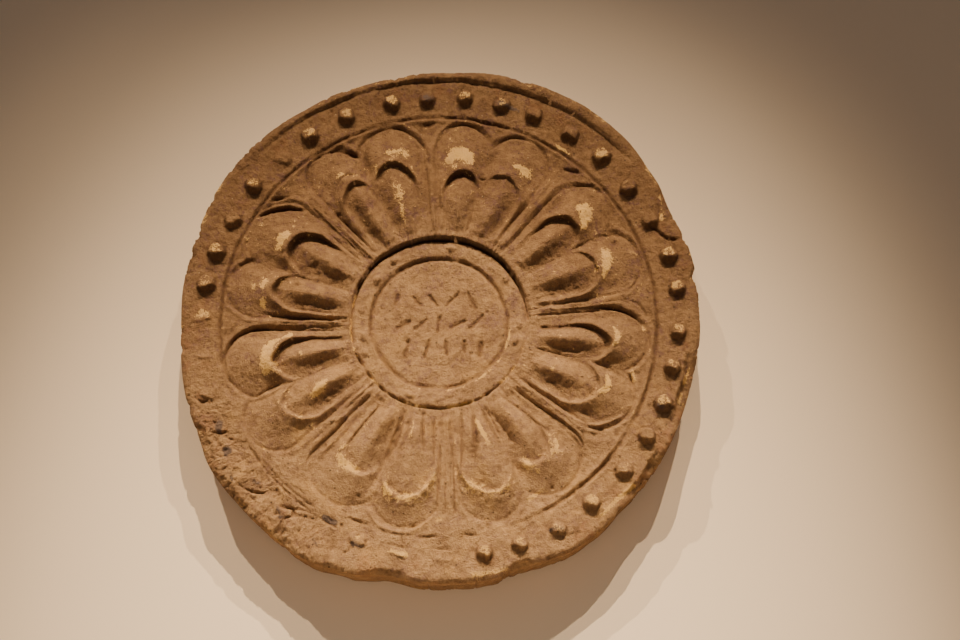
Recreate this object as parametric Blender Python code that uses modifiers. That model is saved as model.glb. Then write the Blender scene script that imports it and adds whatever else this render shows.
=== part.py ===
"""Round roof tile end with a moulded lotus face, one solid piece of fired clay.

It is modelled lying on its back: the back face is the plane z = 0, the moulded face looks up,
and +Y is the upper edge. The last step stands it upright, so that the face looks along -Y,
the upper edge is at +Z and the origin is the centre of the flat back face.
"""
import math

import bmesh
import bpy
from mathutils import Matrix, Vector

MM = 0.001

# overall sizes
RADIUS = 75 * MM                # nominal radius of the moulded face
BORDER_TOP = 17.0 * MM          # thickness of the tile at the beaded border
FIELD_TOP = 16.0 * MM           # thickness at the field that the petals stand on
TURN_STEPS = 96                 # facets round the tile

# ring line between the petals and the beaded border, and the raised outer rim
LINE_RADIUS = 0.8425 * RADIUS
LINE_SWING = 0.0095 * RADIUS    # the line and the petals are set a little towards the left
SWING_SIDE = 168                # direction of that shift, degrees
LINE_HEIGHT = 0.9 * MM
LINE_WIDTH = 1.1 * MM
RIM_INNER = 1.005 * RADIUS
RIM_HEIGHT = 1.6 * MM
RIM_KEPT = (46, 138)            # degrees between which the raised rim survives
BACK_RADIUS = 0.965 * RADIUS
BACK_ROUNDING = 2.0 * MM

# Beads on the border, in the two runs that they were pressed in: first angle, step and count.
# The runs never met: between them, at the lower left, the border is eroded and its beads are gone.
BEAD_RUNS = ((9.1, 9.42, 21), (357.8, -9.8, 12))
BEAD_RING = 0.92 * RADIUS
BEAD_FOOT = 2.9 * MM
BEAD_TOP = 1.7 * MM
BEAD_HEIGHT = 2.9 * MM
BEAD_SIDES = 10
BEADS_WORN = (172, 276)         # degrees between which what is left of a bead is low
WORN_SHARE = 0.3

# petals: eight, each with two lobes. Edges and notches as the mould carver set them, in degrees.
PETAL_EDGES = (7, 52, 94.5, 137.5, 180.5, 227, 272, 321.5)
PETAL_NOTCHES = (30.3, 74.7, 116, 161, 202.3, 249.4, 296, 345)
PETAL_INNER = 0.33 * RADIUS
DIVIDER_GAP = 2.9               # degrees from a petal's edge line to its lobe
NOTCH_OVERLAP = 0.9             # degrees by which a lobe passes the notch, into its neighbour
LOBE_REACH = 0.823 * RADIUS     # how far out a lobe's arch reaches, on average
REACH_SWING = 0.025 * RADIUS
ARCH_STEPS = 8
SIDE_STEPS = 2

# One lobe is a stack of nested arches, from its foot in to the keel of its kernel. Each arch has
# its width (share of the lobe's), shift towards the notch (share of the half width), where its
# arch starts and its tip (shares of LOBE_REACH), and its height over the field at the inner end
# and at the tip, in millimetres.
LOBE_ARCHES = (
    (1.05, 0.00, 0.868, 1.012, -1.3, -1.3),
    (1.00, 0.00, 0.857, 1.000, 0.2, 0.2),
    (0.90, 0.02, 0.850, 0.966, 2.0, 3.4),
    (0.77, 0.07, 0.800, 0.900, 2.7, 5.4),
    (0.69, 0.12, 0.690, 0.822, 2.5, 5.6),
    (0.63, 0.14, 0.680, 0.800, 0.5, 1.0),
    (0.48, 0.15, 0.650, 0.765, 1.8, 3.0),
    (0.00, 0.16, 0.610, 0.710, 2.5, 4.3),
)

# divider ridge between two petals, with the pointed leaf that it opens into
DIVIDER_SECTIONS = (            # radius and half width (shares of RADIUS), height in millimetres
    (0.33, 0.010, 1.0),
    (0.60, 0.010, 1.0),
    (0.74, 0.012, 1.0),
    (0.79, 0.030, 1.0),
    (0.825, 0.075, 1.0),
    (0.842, 0.110, 0.9),
)

# central disc, set in askew: deep at the top, proud at the bottom
DISC_CENTRE = Vector((-0.015 * RADIUS, 0.005 * RADIUS, 0))
DISC_RADIUS = 0.338 * RADIUS
DISC_WELL_RADIUS = 0.362 * RADIUS
DISC_TILT = 4.0                 # degrees
DISC_TOP = 17.0 * MM
WELL_FLOOR = 13.6 * MM
WELL_MOUTH = 28 * MM            # well above every petal
WELL_FLARE = 0.6 * MM
DISC_LINE_RADIUS = 0.264 * RADIUS
DISC_LINE_DEPTH = 0.5 * MM
DISC_STEPS = 52
WELL_STEPS = 46

# outline of the worn edge: angle in degrees and radius as a share of RADIUS
OUTLINE = (
    (0, 1.003), (18, 1.013), (27, 1.000), (36, 1.022), (52, 1.056), (71, 1.060), (90, 1.038),
    (120, 1.038), (139, 1.045), (165, 1.020), (185, 1.005), (205, 1.025), (225, 1.045),
    (258, 1.030), (280, 1.018), (300, 1.008), (314, 0.995), (326, 1.000), (343, 0.985),
)
CHIPS = (                       # broken lip: angle, half width in degrees, depth in millimetres
    (27, 7, 1.6), (206, 9, 1.6), (222, 16, 2.6), (243, 8, 1.8), (312, 16, 2.6), (343, 10, 2.8),
)

CLAY_COLOR = (0.30, 0.165, 0.075, 1.0)


def smooth_step(value, start, end):
    share = min(max((value - start) / (end - start), 0.0), 1.0)
    return share * share * (3 - 2 * share)


def polar(radius, degrees, height=0.0):
    angle = math.radians(degrees)
    return Vector((radius * math.cos(angle), radius * math.sin(angle), height))


def angle_gap(first, second):
    """Smallest angle between two directions, in degrees."""
    return abs((first - second + 180) % 360 - 180)


def outline_share(degrees):
    """Edge radius at an angle, as a share of RADIUS, smooth between the outline's points."""
    points = OUTLINE + ((360 + OUTLINE[0][0], OUTLINE[0][1]),)
    for (start, low), (end, high) in zip(points, points[1:]):
        if start <= degrees <= end:
            return low + (high - low) * smooth_step(degrees, start, end)
    return points[0][1]


def chip_depth(degrees):
    """How far the broken lip lies below the border at an angle."""
    depths = [deep * MM * (1 - smooth_step(angle_gap(degrees, middle), 0, reach))
              for middle, reach, deep in CHIPS]
    return max(depths)


def mesh_object(name, build, collection):
    """New object whose mesh is filled by build(bm)."""
    mesh = bpy.data.meshes.new(name)
    bm = bmesh.new()
    build(bm)
    bm.to_mesh(mesh)
    bm.free()
    obj = bpy.data.objects.new(name, mesh)
    collection.objects.link(obj)
    return obj


def guide_object(name, build, collection):
    """Cutter or addition, kept out of the finished part."""
    obj = mesh_object(name, build, collection)
    obj.hide_render = True
    obj.display_type = 'WIRE'
    return obj


def bake_modifiers(obj):
    """Replace the object's mesh by its evaluated one, and drop the modifiers."""
    depsgraph = bpy.context.evaluated_depsgraph_get()
    baked = bpy.data.meshes.new_from_object(obj.evaluated_get(depsgraph))
    obj.modifiers.clear()
    obj.data = baked


def apply_boolean(obj, other, operation, self_crossing=False):
    modifier = obj.modifiers.new(other.name, 'BOOLEAN')
    modifier.operation = operation
    modifier.object = other
    modifier.use_self = self_crossing
    bake_modifiers(obj)


def loft(bm, sections):
    """Closed skin through open sections of equal length that all end on one base level."""
    rings = [[bm.verts.new(point) for point in section] for section in sections]
    for near, far in zip(rings, rings[1:]):
        for index in range(len(near) - 1):
            bm.faces.new((near[index], far[index], far[index + 1], near[index + 1]))
    return rings


def build_profile(bm):
    """Half section of the tile, from the middle of the face round the edge to the back."""
    half = LINE_WIDTH / 2
    profile = (
        (0, FIELD_TOP),
        (0.60 * RADIUS, FIELD_TOP),
        (LINE_RADIUS - 1.6 * half, FIELD_TOP),
        (LINE_RADIUS, BORDER_TOP + LINE_HEIGHT),
        (LINE_RADIUS + 1.6 * half, BORDER_TOP),
        (0.965 * RADIUS, BORDER_TOP),
        (RIM_INNER - 0.5 * MM, BORDER_TOP - 0.5 * MM),
        (RIM_INNER + 0.8 * MM, BORDER_TOP + RIM_HEIGHT),
        (1.035 * RADIUS, BORDER_TOP + RIM_HEIGHT),
        (1.05 * RADIUS, BORDER_TOP),
        (1.05 * RADIUS, 0.6 * BORDER_TOP),
        (1.02 * RADIUS, BACK_ROUNDING),
        (BACK_RADIUS, 0),
        (0, 0),
    )
    verts = [bm.verts.new((radius, 0, height)) for radius, height in profile]
    for start, end in zip(verts, verts[1:]):
        bm.edges.new((start, end))


def wear_edge(obj):
    """Set the line off centre, pull the edge to its worn outline and lose most of the rim."""
    for vert in obj.data.vertices:
        x, y, z = vert.co
        radius = math.hypot(x, y)
        degrees = math.degrees(math.atan2(y, x)) % 360
        if abs(radius - LINE_RADIUS) < LINE_WIDTH:
            swing = 1 + LINE_SWING / radius * math.cos(math.radians(degrees - SWING_SIDE))
            vert.co = (x * swing, y * swing, z)
            continue
        if radius < 0.95 * RADIUS:
            continue
        share = smooth_step(radius, 0.93 * RADIUS, 1.03 * RADIUS)
        stretch = 1 + share * (outline_share(degrees) / 1.05 - 1)
        raised = max(z - BORDER_TOP, 0) * smooth_step(radius, 0.95 * RADIUS, RIM_INNER)
        kept = (smooth_step(degrees, RIM_KEPT[0] - 4, RIM_KEPT[0] + 4)
                * (1 - smooth_step(degrees, RIM_KEPT[1] - 8, RIM_KEPT[1] + 8)))
        broken = chip_depth(degrees) * smooth_step(z, 0.5 * BORDER_TOP, BORDER_TOP)
        broken *= smooth_step(radius, 0.95 * RADIUS, 1.04 * RADIUS)
        vert.co = (x * stretch, y * stretch, z - raised * (1 - kept) - broken)


def make_body(collection):
    body = mesh_object('end_tile', build_profile, collection)
    turned = body.modifiers.new('turned', 'SCREW')
    turned.axis = 'Z'
    turned.steps = TURN_STEPS
    turned.render_steps = TURN_STEPS
    turned.use_merge_vertices = True
    turned.merge_threshold = 0.00001
    bake_modifiers(body)
    wear_edge(body)
    return body


def arch_points(axis, half_angle, start, tip, heights):
    """Points of one arch: out along one side, round the tip and back along the other side."""
    along = Vector(polar(1, axis))
    across = Vector((-along.y, along.x, 0))
    half = math.radians(half_angle)
    low, high = heights
    side = []
    for step in range(SIDE_STEPS):
        radius = PETAL_INNER + (start - PETAL_INNER) * step / SIDE_STEPS
        height = low + (high - low) * smooth_step(radius, PETAL_INNER, start)
        side.append((radius * math.cos(half), radius * math.sin(half), height))
    turn = []
    for step in range(ARCH_STEPS + 1):
        angle = math.pi * (step / ARCH_STEPS - 0.5)
        reach = start * math.cos(half)
        turn.append((reach + (tip - reach) * math.cos(angle), start * math.sin(half) * math.sin(angle), high))
    points = [(out, -aside, up) for out, aside, up in side] + turn + side[::-1]
    return [along * out + across * aside + Vector((0, 0, FIELD_TOP + up)) for out, aside, up in points]


def add_lobe(bm, edge, notch):
    """One lobe with its kernel, between a petal's edge line and its notch."""
    turn = (notch - edge + 180) % 360 - 180
    toward = 1 if turn > 0 else -1
    outer = edge + toward * DIVIDER_GAP
    half = (angle_gap(notch, outer) + NOTCH_OVERLAP) / 2
    axis = outer + toward * half
    reach = LOBE_REACH + REACH_SWING * math.cos(math.radians(axis - SWING_SIDE))
    contours = []
    for width, shift, start, tip, low, high in LOBE_ARCHES:
        centre = axis + toward * shift * half
        contours.append(arch_points(centre, half * width, start * reach, tip * reach, (low * MM, high * MM)))
    rings = loft(bm, contours)
    bm.faces.new(rings[0])
    bm.faces.new([ring[0] for ring in rings] + [ring[-1] for ring in reversed(rings)])


def add_divider(bm, degrees):
    """Ridge of triangular section along a petal edge, opening into a flat leaf."""
    along = polar(1, degrees)
    across = Vector((-along.y, along.x, 0))
    base = Vector((0, 0, FIELD_TOP - 1.2 * MM))
    sections = []
    for radius, half_width, height in DIVIDER_SECTIONS:
        middle = along * radius * RADIUS + base
        aside = across * half_width * RADIUS
        rise = Vector((0, 0, 1.2 * MM + height * MM))
        crown = aside * max(0.0, 1 - 0.008 / half_width)
        sections.append([middle - aside, middle - crown + rise, middle + crown + rise, middle + aside])
    rings = loft(bm, sections)
    for near, far in zip(rings, rings[1:]):
        bm.faces.new((near[0], near[-1], far[-1], far[0]))
    bm.faces.new(rings[0])
    bm.faces.new(rings[-1])


def build_petals(bm):
    for edge, notch, next_edge in zip(PETAL_EDGES, PETAL_NOTCHES, PETAL_EDGES[1:] + PETAL_EDGES[:1]):
        add_lobe(bm, edge, notch)
        add_lobe(bm, next_edge, notch)
    bmesh.ops.remove_doubles(bm, verts=bm.verts, dist=0.00001)
    bmesh.ops.recalc_face_normals(bm, faces=bm.faces)


def build_dividers(bm):
    for degrees in PETAL_EDGES:
        add_divider(bm, degrees)
    bmesh.ops.remove_doubles(bm, verts=bm.verts, dist=0.00001)
    bmesh.ops.recalc_face_normals(bm, faces=bm.faces)


def add_cone(bm, foot, top, low, high, sides, place=Matrix()):
    """Round frustum between two heights."""
    centre = Matrix.Translation((0, 0, (low + high) / 2))
    bmesh.ops.create_cone(bm, cap_ends=True, segments=sides, radius1=foot, radius2=top,
                          depth=high - low, matrix=place @ centre)


def build_beads(bm):
    angles = [first + step * index for first, step, count in BEAD_RUNS for index in range(count)]
    for degrees in angles:
        worn = BEADS_WORN[0] < degrees < BEADS_WORN[1]
        share = WORN_SHARE if worn else 1.0
        top = BEAD_FOOT + (BEAD_TOP - BEAD_FOOT) * share
        place = Matrix.Translation(polar(BEAD_RING, degrees, BORDER_TOP))
        add_cone(bm, BEAD_FOOT + 0.2 * MM, top, -0.8 * MM, BEAD_HEIGHT * share, BEAD_SIDES, place)


def disc_place():
    """The disc's own plane: tipped back at its upper edge."""
    tilt = Matrix.Rotation(math.radians(-DISC_TILT), 4, 'X')
    return Matrix.Translation(DISC_CENTRE + Vector((0, 0, DISC_TOP))) @ tilt


def build_well(bm):
    mouth = DISC_WELL_RADIUS + WELL_FLARE
    add_cone(bm, DISC_WELL_RADIUS, mouth, WELL_FLOOR, WELL_MOUTH, WELL_STEPS,
             Matrix.Translation(DISC_CENTRE))


def build_disc(bm):
    """Disc with an incised line that parts its band from its inner field."""
    rings = (
        (DISC_RADIUS + 0.4 * MM, -DISC_TOP * 0.4),
        (DISC_RADIUS, -0.4 * MM),
        (DISC_RADIUS - 0.5 * MM, 0),
        (DISC_LINE_RADIUS + 0.5 * MM, 0),
        (DISC_LINE_RADIUS, -DISC_LINE_DEPTH),
        (DISC_LINE_RADIUS - 0.5 * MM, 0),
    )
    previous = None
    for radius, height in rings:
        ring = [bm.verts.new(polar(radius, 360 * step / DISC_STEPS, height)) for step in range(DISC_STEPS)]
        if previous is None:
            bm.faces.new(ring[::-1])
        else:
            for index in range(DISC_STEPS):
                after = (index + 1) % DISC_STEPS
                bm.faces.new((previous[index], previous[after], ring[after], ring[index]))
        previous = ring
    bm.faces.new(previous)
    bmesh.ops.recalc_face_normals(bm, faces=bm.faces)
    bmesh.ops.transform(bm, matrix=disc_place(), verts=bm.verts)


def clay_material():
    material = bpy.data.materials.new('fired_clay')
    material.use_nodes = True
    shader = material.node_tree.nodes['Principled BSDF']
    shader.inputs['Base Color'].default_value = CLAY_COLOR
    shader.inputs['Roughness'].default_value = 0.9
    shader.inputs['Metallic'].default_value = 0.0
    return material


def main():
    for obj in list(bpy.data.objects):
        bpy.data.objects.remove(obj, do_unlink=True)
    part = bpy.data.collections.new('roof_end_tile')
    cutters = bpy.data.collections.new('guides')
    bpy.context.scene.collection.children.link(part)
    bpy.context.scene.collection.children.link(cutters)

    tile = make_body(part)
    petals = guide_object('petals', build_petals, cutters)
    apply_boolean(tile, petals, 'UNION', self_crossing=True)
    steps = (
        ('dividers', build_dividers, 'UNION'),
        ('well', build_well, 'DIFFERENCE'),
        ('disc', build_disc, 'UNION'),
        ('beads', build_beads, 'UNION'),
    )
    for name, build, operation in steps:
        apply_boolean(tile, guide_object(name, build, cutters), operation)

    tile.data.materials.clear()
    tile.data.materials.append(clay_material())
    tile.rotation_euler = (math.pi / 2, 0, 0)


main()
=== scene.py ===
# Worn clay roof tile end with a lotus face: its fine relief and its fired clay finish.
import math

import bpy
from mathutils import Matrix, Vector


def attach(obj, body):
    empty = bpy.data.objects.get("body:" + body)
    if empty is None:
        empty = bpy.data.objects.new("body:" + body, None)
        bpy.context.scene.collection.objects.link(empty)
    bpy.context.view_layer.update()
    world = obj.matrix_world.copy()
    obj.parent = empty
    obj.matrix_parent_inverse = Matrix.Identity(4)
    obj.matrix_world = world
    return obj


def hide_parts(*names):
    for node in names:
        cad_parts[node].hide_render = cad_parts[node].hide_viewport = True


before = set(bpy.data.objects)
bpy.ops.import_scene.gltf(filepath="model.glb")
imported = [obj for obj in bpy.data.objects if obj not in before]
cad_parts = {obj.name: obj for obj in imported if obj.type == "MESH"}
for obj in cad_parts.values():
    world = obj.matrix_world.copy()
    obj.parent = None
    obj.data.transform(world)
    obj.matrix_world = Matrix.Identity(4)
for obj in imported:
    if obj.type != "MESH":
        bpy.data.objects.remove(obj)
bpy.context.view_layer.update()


class Wire:  # an output socket that takes part in plain arithmetic: millimetres and degrees
    def __init__(self, socket):
        self.tree = socket.id_data
        self.socket = socket

    def math(self, operation, *others):
        node = self.tree.nodes.new("ShaderNodeMath")
        node.operation = operation
        for entry, value in zip(node.inputs, (self,) + others):
            feed(entry, value)
        return Wire(node.outputs[0])

    def __rsub__(self, other):
        return self.math("MULTIPLY_ADD", -1, other)

    def __neg__(self):
        return self.math("MULTIPLY", -1)

    def __abs__(self):
        return self.math("ABSOLUTE")


def operator(kind):
    return lambda self, other: self.math(kind, other)


for sign, kind in (("add", "ADD"), ("radd", "ADD"), ("mul", "MULTIPLY"), ("rmul", "MULTIPLY"),
                   ("sub", "SUBTRACT"), ("truediv", "DIVIDE"), ("pow", "POWER"), ("mod", "FLOORED_MODULO"),
                   ("gt", "GREATER_THAN"), ("lt", "LESS_THAN")):
    setattr(Wire, "__" + sign + "__", operator(kind))


def feed(entry, value):  # link a wire or socket to an input, or set the input's value
    if isinstance(value, Wire):
        value = value.socket
    if isinstance(value, bpy.types.NodeSocket):
        entry.id_data.links.new(value, entry)
    else:
        entry.default_value = value


def place(tree, kind, settings=None, **entries):  # new node with its settings and its inputs
    node = tree.nodes.new(kind)
    for name, value in (settings or {}).items():
        setattr(node, name, value)
    for name, value in entries.items():
        feed(node.inputs[name.replace("_", " ")], value)
    return node


def mapRange(value, start, end, kind):
    node = value.tree.nodes.new("ShaderNodeMapRange")
    node.interpolation_type = kind
    for name, number in (("Value", value), ("From Min", start), ("From Max", end)):
        feed(node.inputs[name], number)
    return Wire(node.outputs[0])


def smooth(value, start, end):  # 0 at start, 1 at end, with soft turns
    return mapRange(value, start, end, "SMOOTHSTEP")


def linear(value, start, end):  # 0 at start, 1 at end, straight between
    return mapRange(value, start, end, "LINEAR")


def ridge(value, middle, half):  # 1 at the middle, 0 past half a width
    return smooth(abs(value - middle), half, 0)


def most(first, *others):
    for other in others:
        first = first.math("MAXIMUM", other)
    return first


def least(first, *others):
    for other in others:
        first = first.math("MINIMUM", other)
    return first


def clamp(value):
    return most(least(value, 1), 0)


def mix(first, second, share):
    return first + (second - first) * share


def length(across, along):
    return (across * across + along * along).math("SQRT")


def cosine(degrees):
    return degrees.math("RADIANS").math("COSINE")


def sine(degrees):
    return degrees.math("RADIANS").math("SINE")


def vector(x, y, z=0):
    return Wire(place(x.tree, "ShaderNodeCombineXYZ", X=x, Y=y, Z=z).outputs[0])


def noise(spot, size, seed, detail=2, roughness=0.5):  # smooth noise from -1 to 1, size in mm
    node = place(spot.tree, "ShaderNodeTexNoise", {"noise_dimensions": "4D"}, Vector=spot, W=seed,
                 Scale=1 / size, Detail=detail, Roughness=roughness)
    return Wire(node.outputs[0]) * 2 - 1


def chance(number, seed):  # one value from 0 to 1 for each whole number
    pair = vector(number, seed)
    node = place(number.tree, "ShaderNodeTexWhiteNoise", {"noise_dimensions": "2D"}, Vector=pair)
    return Wire(node.outputs[0])


def pick(number, values):  # the value that belongs to a whole number
    tree = number.tree
    whole = place(tree, "FunctionNodeFloatToInt", {"rounding_mode": "ROUND"}, Float=number)
    node = place(tree, "GeometryNodeIndexSwitch", {"data_type": "FLOAT"}, Index=whole.outputs[0])
    while len(node.index_switch_items) < len(values):
        node.index_switch_items.new()
    for entry, value in zip(list(node.inputs)[1:], values):
        entry.default_value = value
    return Wire(node.outputs[0])


def countPast(value, limits):  # how many of the limits a value has passed
    total = value > limits[0]
    for limit in limits[1:]:
        total = total + (value > limit)
    return total


def addObject(name, data):
    obj = bpy.data.objects.new(name, data)
    bpy.context.scene.collection.objects.link(obj)
    return obj


def column(table, number):
    return tuple(row[number] for row in table)


def useGroup(tree, name, words, build, values):  # the outputs of a new group, filled by build(inputs)
    inputs = words.split()
    group = bpy.data.node_groups.new(name, "GeometryNodeTree")
    for key in inputs:
        kind = "NodeSocketVector" if key == "spot" else "NodeSocketFloat"
        group.interface.new_socket(key, in_out="INPUT", socket_type=kind)
    inside = group.nodes.new("NodeGroupInput")
    results = build({key: Wire(inside.outputs[key]) for key in inputs})
    for key in results:
        group.interface.new_socket(key, in_out="OUTPUT", socket_type="NodeSocketFloat")
    out = group.nodes.new("NodeGroupOutput")
    for key, value in results.items():
        feed(out.inputs[key], value)
    node = place(tree, "GeometryNodeGroup", {"node_tree": group}, **{key: values[key] for key in inputs})
    return {socket.name: Wire(socket) for socket in node.outputs}


tile = {
    "radius": 75.0,            # nominal radius of the moulded face
    "borderTop": 16.8,         # thickness at the beaded border
    "fieldTop": 16.0,          # thickness at the field round the petals
    "lobeHeight": 4.8,         # crest of a lobe over the field
    "kernelHeight": 4.5,       # keel of a kernel over the field
    "dividerHeight": 2.0,      # ridges between the petals
    "lineDepth": 0.7,          # ring line
    "beadHeight": 2.95,
    "beadRadius": 2.6,
    "rimHeight": 1.1,
    "discTop": 17.0,
    "discTilt": 2.6,           # degrees that the disc leans back at its upper edge
    "strokeDepth": 0.6,
    "wear": 1.0,               # share of the erosion, pits and lumps
    "seed": 7.0,
}

faceRings = 230                # mesh rings on the face, down the side and on the back
sideRings = 30
backRings = 18
triangleLimit = 196000

# Worn outline of the edge: degrees and share of the radius.
outline = (
    (0, 1.006), (18, 1.018), (27, 1.014), (36, 1.034), (46, 1.054), (58, 1.062), (76, 1.056), (90, 1.04),
    (120, 1.038), (139, 1.05), (165, 1.026), (180, 1.01), (203, 1.028), (214, 1.05), (228, 1.046),
    (241, 1.056), (250, 1.038), (259, 1.006), (266, 1.018), (281, 1.02), (289, 1.004), (299, 1.022),
    (306, 1.018), (315, 1.002), (326, 1.004), (343, 0.996), (360, 1.006),
)
# Broken lip: degrees, half width in degrees, depth and inward reach.
chips = (
    (27, 7, 1, 3.4), (207, 6, 1.2, 2.6), (220, 9, 1, 2.2), (233, 5, 0.8, 2.4), (288, 3, 1.6, 2),
    (322, 8, 2.4, 2.6), (344, 11, 2.6, 3.2), (258, 6, 0.8, 2), (168, 6, 1, 2.4), (105, 9, 0.8, 2),
)

# Two lobes a petal, counter-clockwise from the right: start in degrees, arch top as a share of the
# radius, outline and kernel's two sides as shares of the way from the petal's edge to its notch,
# kernel's tip as a share of the radius, share of the crest height, pale rim (rubbed wear, and painted
# highlight strongest on the lowest lobes whose rims face up), share of the drop from the crest to the
# kernel, share of the valley beside the petal, which also sets the painted shade there.
lobes = (
    (7.2, 0.818, 0.1, 0.22, 0.975, 0.64, 0.92, 0.2, 0.35, 0.2),
    (30.3, 0.822, 0.115, 0.33, 0.99, 0.645, 1, 0.2, 0.9, 0.15),
    (52, 0.826, 0.145, 0.3, 0.985, 0.636, 0.85, 0.1, 0.35, 0.15),
    (74.7, 0.823, 0.11, 0.28, 1, 0.612, 1.05, 0.3, 1.05, 0.12),
    (94, 0.832, 0.09, 0.32, 0.96, 0.668, 0.95, 0.3, 0.6, 0.15),
    (116, 0.838, 0.15, 0.36, 1, 0.652, 0.95, 0.2, 0.55, 0.3),
    (136, 0.848, 0.12, 0.32, 0.935, 0.655, 1.1, 0.2, 1.15, 0.3),
    (161, 0.842, 0.09, 0.25, 1, 0.652, 1, 0.1, 0.7, 0.45),
    (179.7, 0.85, 0.11, 0.34, 0.99, 0.65, 1.15, 0.5, 1.15, 0.45),
    (202.3, 0.855, 0.13, 0.3, 0.98, 0.672, 0.92, 0.4, 0.4, 0.15),
    (224, 0.812, 0.12, 0.4, 0.945, 0.662, 0.66, 0.3, 0.25, 0.25),
    (249.4, 0.815, 0.14, 0.275, 1, 0.688, 0.8, 0.8, 0.12, 0.1),
    (273, 0.803, 0.13, 0.26, 1, 0.686, 0.8, 0.8, 0.12, 0.1),
    (296, 0.802, 0.13, 0.368, 0.94, 0.655, 0.74, 0.5, 0.25, 0.35),
    (321.3, 0.802, 0.1, 0.24, 0.945, 0.648, 1, 0.2, 0.45, 0.2),
    (345, 0.802, 0.12, 0.39, 1, 0.645, 1.05, 0.2, 1, 0.25),
)

# The next tables hold runs of points. Each point: degrees, distance from the middle in thousandths
# of the radius, half width in tenths of a millimetre, and depth or strength in tenths.
# Pale places where high spots are rubbed or chipped:
rubbed = (
    ((16, 655, 9, 9), (20, 684, 17, 11), (23.6, 700, 17, 11)),
    ((34.4, 662, 8, 10), (36.4, 695, 20, 11), (39, 718, 27, 12), (40.4, 712, 18, 11)),
    ((61.2, 695, 18, 10), (64.5, 700, 15, 9), (66, 700, 15, 5)),
    ((80.2, 664, 13, 12), (82.4, 688, 23, 14), (85.6, 690, 22, 14), (87.4, 662, 14, 12)),
    ((101.6, 704, 16, 9), (103.4, 712, 15, 8), (107.6, 722, 11, 7)),
    ((123.3, 716, 10, 8), (125, 714, 7, 7)), ((149.4, 692, 12, 10), (152, 706, 17, 11), (155, 696, 12, 9)),
    ((165.6, 704, 13, 8), (168.8, 704, 14, 8)), ((168.4, 738, 11, 7), (169.4, 738, 9, 7)),
    ((173, 694, 12, 10), (174.8, 690, 10, 9)),
    ((185, 582, 11, 11), (186.4, 620, 7, 8), (188, 660, 14, 12), (192, 682, 21, 12), (196.4, 694, 17, 11)),
    ((193, 552, 5, 9), (194.2, 552, 4, 9)),
    ((208.8, 505, 12, 10), (210.6, 545, 15, 13), (211.8, 580, 8, 8)), ((216, 834, 4, 8), (217, 834, 3, 7)),
    ((234, 652, 10, 11), (237, 668, 17, 12), (241.5, 666, 12, 11)),
    ((249.6, 896, 7, 11), (249.9, 892, 6, 11)), ((269.3, 772, 9, 10), (270, 772, 7, 10)),
    ((289.2, 410, 7, 8), (290, 470, 10, 10), (290.6, 520, 7, 9)), ((255.6, 400, 7, 5), (256.2, 475, 9, 6)),
    ((296.2, 770, 10, 11), (300.2, 762, 6, 9)), ((310.5, 682, 7, 7), (314, 630, 6, 7)),
    ((334.8, 668, 8, 10), (337.5, 690, 13, 11), (341.4, 672, 9, 10)), ((335, 468, 8, 8), (337, 472, 7, 8)),
    ((342.8, 774, 7, 9), (345.4, 760, 7, 10)), ((352, 676, 8, 10), (355, 682, 10, 10), (357.8, 664, 6, 8)),
    ((351.4, 465, 7, 7), (352.8, 465, 6, 7)),
    ((106.6, 610, 15, 5), (107.8, 540, 19, 6), (109.8, 430, 16, 5)), ((53.5, 856, 5, 8), (58, 858, 6, 9)),
    ((258, 912, 8, 9), (261.8, 912, 9, 10)), ((309, 970, 7, 9), (314, 964, 9, 10), (319, 970, 8, 8)),
    ((341.4, 964, 8, 9), (343.5, 962, 7, 8)), ((346, 964, 7, 8), (350, 972, 6, 8)),
    ((277.5, 990, 11, 9), (284.5, 992, 9, 8)), ((64, 1040, 8, 3), (72, 1038, 10, 4)),
    ((96.5, 1022, 10, 3), (109, 1024, 10, 4)), ((113, 1022, 8, 3), (123, 1022, 7, 2)),
    ((26.2, 962, 9, 7), (28, 970, 7, 6)),
)

# Beads, counter-clockwise from the right: degrees, share of the radius, share of the height, pale top.
beads = (
    (8.6, 0.926, 1, 1), (17.3, 0.926, 0.95, 1), (27, 0.914, 0.8, 0), (36.9, 0.918, 1.05, 0.5),
    (47.2, 0.926, 1, 1), (56.8, 0.926, 0.85, 0.3), (67, 0.928, 1.05, 0.2), (75.3, 0.93, 0.9, 0.7),
    (84.4, 0.93, 0.95, 1), (93.6, 0.924, 0.85, 0.1), (102.5, 0.928, 1, 1), (114, 0.928, 0.95, 0.8),
    (124.2, 0.926, 1.05, 1), (133.1, 0.916, 0.35, 0), (142.8, 0.926, 1.05, 0.9),
    (152.9, 0.914, 0.85, 0.3), (161.8, 0.922, 1.05, 1), (170.3, 0.924, 0.95, 0.8), (178.6, 0.92, 0.16, 1),
    (188, 0.92, 0.14, 0), (197.5, 0.94, 0.2, 0), (206.5, 0.928, 0.14, 0), (249.8, 0.905, 0.35, 0.3),
    (260, 0.912, 0.25, 0.5), (270.6, 0.92, 0.12, 0), (280.6, 0.914, 0.9, 1), (289.3, 0.914, 0.8, 0.9),
    (299, 0.922, 0.65, 0.6), (309, 0.908, 0.95, 1), (320.3, 0.906, 0.85, 0.8), (330.3, 0.906, 1, 0.2),
    (339.4, 0.91, 1.05, 0.9), (348.9, 0.906, 1, 0.8), (357.8, 0.916, 1, 0.8),
)

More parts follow.
